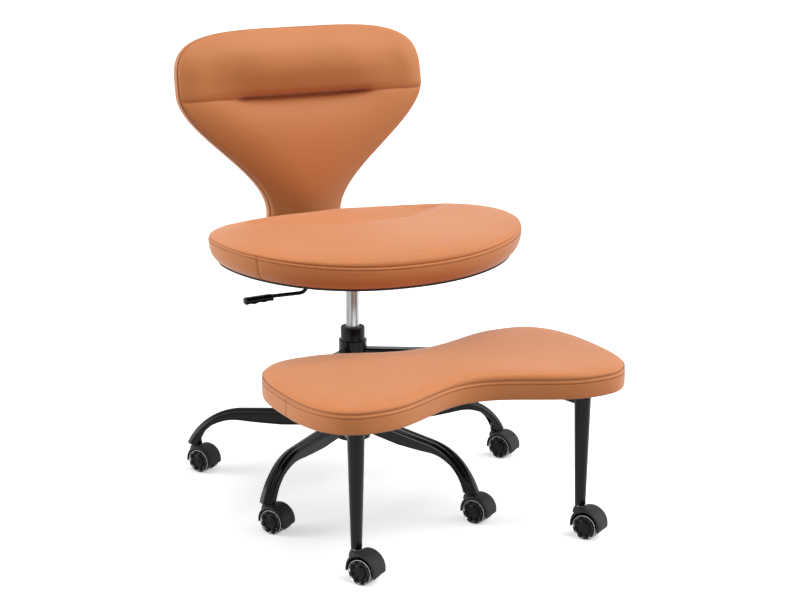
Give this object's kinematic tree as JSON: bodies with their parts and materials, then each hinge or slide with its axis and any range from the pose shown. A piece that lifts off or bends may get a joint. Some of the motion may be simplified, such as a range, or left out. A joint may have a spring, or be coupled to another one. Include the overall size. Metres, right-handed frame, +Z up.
{
  "type": "meditation chair",
  "caption": "Swivel chair with a broad oval padded seat, a waisted padded backrest and a peanut-shaped padded foot stool that circles the column; gas lift and casters.",
  "frame": {"origin": "on the floor, under the centre of the bounding box", "axes": "+Z up, -Y the way the sitter faces, +X to the sitter's left"},
  "size_m": [0.7173, 0.9041, 0.908],
  "materials": {
    "black_steel": "satin black",
    "black_plastic": "matte black",
    "gloss_black": "gloss black",
    "zinc": "zinc plated",
    "chrome": "polished chrome",
    "tan_leather": "smooth tan leather",
    "plywood": "bare plywood",
    "black_board": "black lined board"
  },
  "bodies": {
    "base": {"base_hub": "black_steel", "base_arm_1": "black_steel", "base_arm_2": "black_steel", "base_arm_3": "black_steel", "base_arm_4": "black_steel", "base_arm_5": "black_steel", "column_tube": "black_steel", "guide_bush": "black_plastic"},
    "lift_rod": {"piston_rod": "zinc"},
    "seat": {"gas_cylinder": "chrome", "seat_plate": "black_steel", "seat_board": "black_board", "seat_pad": "tan_leather", "back_bar": "black_steel", "back_pad": "tan_leather"},
    "lever": {"lever_rod": "black_steel", "lever_paddle": "black_plastic"},
    "valve": {"valve_pin": "zinc"},
    "stool": {"stool_collar": "black_steel", "stool_arm_right": "black_steel", "stool_arm_left": "black_steel", "stool_leg_right": "black_steel", "stool_leg_left": "black_steel", "stool_board": "plywood", "stool_pad": "tan_leather"},
    "caster_1": {"caster_1_hood": "black_plastic", "caster_1_stem": "zinc", "caster_1_axle": "zinc"},
    "caster_1_wheel_right": {"caster_1_wheel_right": "gloss_black"},
    "caster_1_wheel_left": {"caster_1_wheel_left": "gloss_black"},
    "caster_2": {"caster_2_hood": "black_plastic", "caster_2_stem": "zinc", "caster_2_axle": "zinc"},
    "caster_2_wheel_right": {"caster_2_wheel_right": "gloss_black"},
    "caster_2_wheel_left": {"caster_2_wheel_left": "gloss_black"},
    "caster_3": {"caster_3_hood": "black_plastic", "caster_3_stem": "zinc", "caster_3_axle": "zinc"},
    "caster_3_wheel_right": {"caster_3_wheel_right": "gloss_black"},
    "caster_3_wheel_left": {"caster_3_wheel_left": "gloss_black"},
    "caster_4": {"caster_4_hood": "black_plastic", "caster_4_stem": "zinc", "caster_4_axle": "zinc"},
    "caster_4_wheel_right": {"caster_4_wheel_right": "gloss_black"},
    "caster_4_wheel_left": {"caster_4_wheel_left": "gloss_black"},
    "caster_5": {"caster_5_hood": "black_plastic", "caster_5_stem": "zinc", "caster_5_axle": "zinc"},
    "caster_5_wheel_right": {"caster_5_wheel_right": "gloss_black"},
    "caster_5_wheel_left": {"caster_5_wheel_left": "gloss_black"},
    "caster_6": {"caster_6_hood": "black_plastic", "caster_6_stem": "zinc", "caster_6_axle": "zinc"},
    "caster_6_wheel_right": {"caster_6_wheel_right": "gloss_black"},
    "caster_6_wheel_left": {"caster_6_wheel_left": "gloss_black"},
    "caster_7": {"caster_7_hood": "black_plastic", "caster_7_stem": "zinc", "caster_7_axle": "zinc"},
    "caster_7_wheel_right": {"caster_7_wheel_right": "gloss_black"},
    "caster_7_wheel_left": {"caster_7_wheel_left": "gloss_black"}
  },
  "joints": [
    {"name": "seat_swivel", "type": "hinge", "parent": "base", "child": "lift_rod", "pos_m": [-0.021, 0.115, 0.2], "axis": [0, 0, 1], "continuous": true},
    {"name": "gas_lift", "type": "slide", "parent": "lift_rod", "child": "seat", "axis": [0, 0, 1], "range_m": [-0.065, 0.025]},
    {"name": "lever_lift", "type": "hinge", "parent": "seat", "child": "lever", "pos_m": [-0.06445, 0.11705, 0.47], "axis": [0.0471, 0.9989, 0], "range_deg": [0, 8], "stiffness_Nm_per_rad": 2, "springref_deg": -11.46},
    {"name": "valve_press", "type": "slide", "parent": "seat", "child": "valve", "axis": [0, 0, 1], "range_m": [-0.0065, 0]},
    {"name": "stool_turn", "type": "hinge", "parent": "base", "child": "stool", "pos_m": [-0.021, 0.115, 0.27], "axis": [0, 0, 1], "continuous": true},
    {"name": "caster_1_swivel", "type": "hinge", "parent": "base", "child": "caster_1", "pos_m": [0.31585, 0.105, 0.055], "axis": [0, 0, 1], "continuous": true},
    {"name": "caster_1_roll_right", "type": "hinge", "parent": "caster_1", "child": "caster_1_wheel_right", "pos_m": [0.32129, 0.08618, 0.025], "axis": [0.8634, 0.5045, 0], "continuous": true},
    {"name": "caster_1_roll_left", "type": "hinge", "parent": "caster_1", "child": "caster_1_wheel_left", "pos_m": [0.32958, 0.09102, 0.025], "axis": [0.8634, 0.5045, 0], "continuous": true},
    {"name": "caster_2_swivel", "type": "hinge", "parent": "base", "child": "caster_2", "pos_m": [0.0926, 0.43228, 0.055], "axis": [0, 0, 1], "continuous": true},
    {"name": "caster_2_roll_right", "type": "hinge", "parent": "caster_2", "child": "caster_2_wheel_right", "pos_m": [0.09804, 0.41345, 0.025], "axis": [0.8634, 0.5045, 0], "continuous": true},
    {"name": "caster_2_roll_left", "type": "hinge", "parent": "caster_2", "child": "caster_2_wheel_left", "pos_m": [0.10633, 0.41829, 0.025], "axis": [0.8634, 0.5045, 0], "continuous": true},
    {"name": "caster_3_swivel", "type": "hinge", "parent": "base", "child": "caster_3", "pos_m": [-0.28764, 0.32109, 0.055], "axis": [0, 0, 1], "continuous": true},
    {"name": "caster_3_roll_right", "type": "hinge", "parent": "caster_3", "child": "caster_3_wheel_right", "pos_m": [-0.2822, 0.30226, 0.025], "axis": [0.8634, 0.5045, 0], "continuous": true},
    {"name": "caster_3_roll_left", "type": "hinge", "parent": "caster_3", "child": "caster_3_wheel_left", "pos_m": [-0.27391, 0.3071, 0.025], "axis": [0.8634, 0.5045, 0], "continuous": true},
    {"name": "caster_4_swivel", "type": "hinge", "parent": "base", "child": "caster_4", "pos_m": [-0.2994, -0.07491, 0.055], "axis": [0, 0, 1], "continuous": true},
    {"name": "caster_4_roll_right", "type": "hinge", "parent": "caster_4", "child": "caster_4_wheel_right", "pos_m": [-0.29395, -0.09373, 0.025], "axis": [0.8634, 0.5045, 0], "continuous": true},
    {"name": "caster_4_roll_left", "type": "hinge", "parent": "caster_4", "child": "caster_4_wheel_left", "pos_m": [-0.28567, -0.08889, 0.025], "axis": [0.8634, 0.5045, 0], "continuous": true},
    {"name": "caster_5_swivel", "type": "hinge", "parent": "base", "child": "caster_5", "pos_m": [0.07358, -0.20845, 0.055], "axis": [0, 0, 1], "continuous": true},
    {"name": "caster_5_roll_right", "type": "hinge", "parent": "caster_5", "child": "caster_5_wheel_right", "pos_m": [0.07903, -0.22728, 0.025], "axis": [0.8634, 0.5045, 0], "continuous": true},
    {"name": "caster_5_roll_left", "type": "hinge", "parent": "caster_5", "child": "caster_5_wheel_left", "pos_m": [0.08732, -0.22244, 0.025], "axis": [0.8634, 0.5045, 0], "continuous": true},
    {"name": "caster_6_swivel", "type": "hinge", "parent": "stool", "child": "caster_6", "pos_m": [-0.261, -0.379, 0.055], "axis": [0, 0, 1], "continuous": true},
    {"name": "caster_6_roll_right", "type": "hinge", "parent": "caster_6", "child": "caster_6_wheel_right", "pos_m": [-0.25556, -0.39783, 0.025], "axis": [0.8634, 0.5045, 0], "continuous": true},
    {"name": "caster_6_roll_left", "type": "hinge", "parent": "caster_6", "child": "caster_6_wheel_left", "pos_m": [-0.24727, -0.39298, 0.025], "axis": [0.8634, 0.5045, 0], "continuous": true},
    {"name": "caster_7_swivel", "type": "hinge", "parent": "stool", "child": "caster_7", "pos_m": [0.219, -0.379, 0.055], "axis": [0, 0, 1], "continuous": true},
    {"name": "caster_7_roll_right", "type": "hinge", "parent": "caster_7", "child": "caster_7_wheel_right", "pos_m": [0.22444, -0.39783, 0.025], "axis": [0.8634, 0.5045, 0], "continuous": true},
    {"name": "caster_7_roll_left", "type": "hinge", "parent": "caster_7", "child": "caster_7_wheel_left", "pos_m": [0.23273, -0.39298, 0.025], "axis": [0.8634, 0.5045, 0], "continuous": true}
  ],
  "couplings": [
    {"joint": "valve_press", "follows": "lever_lift", "m_per_rad": -0.0435}
  ]
}
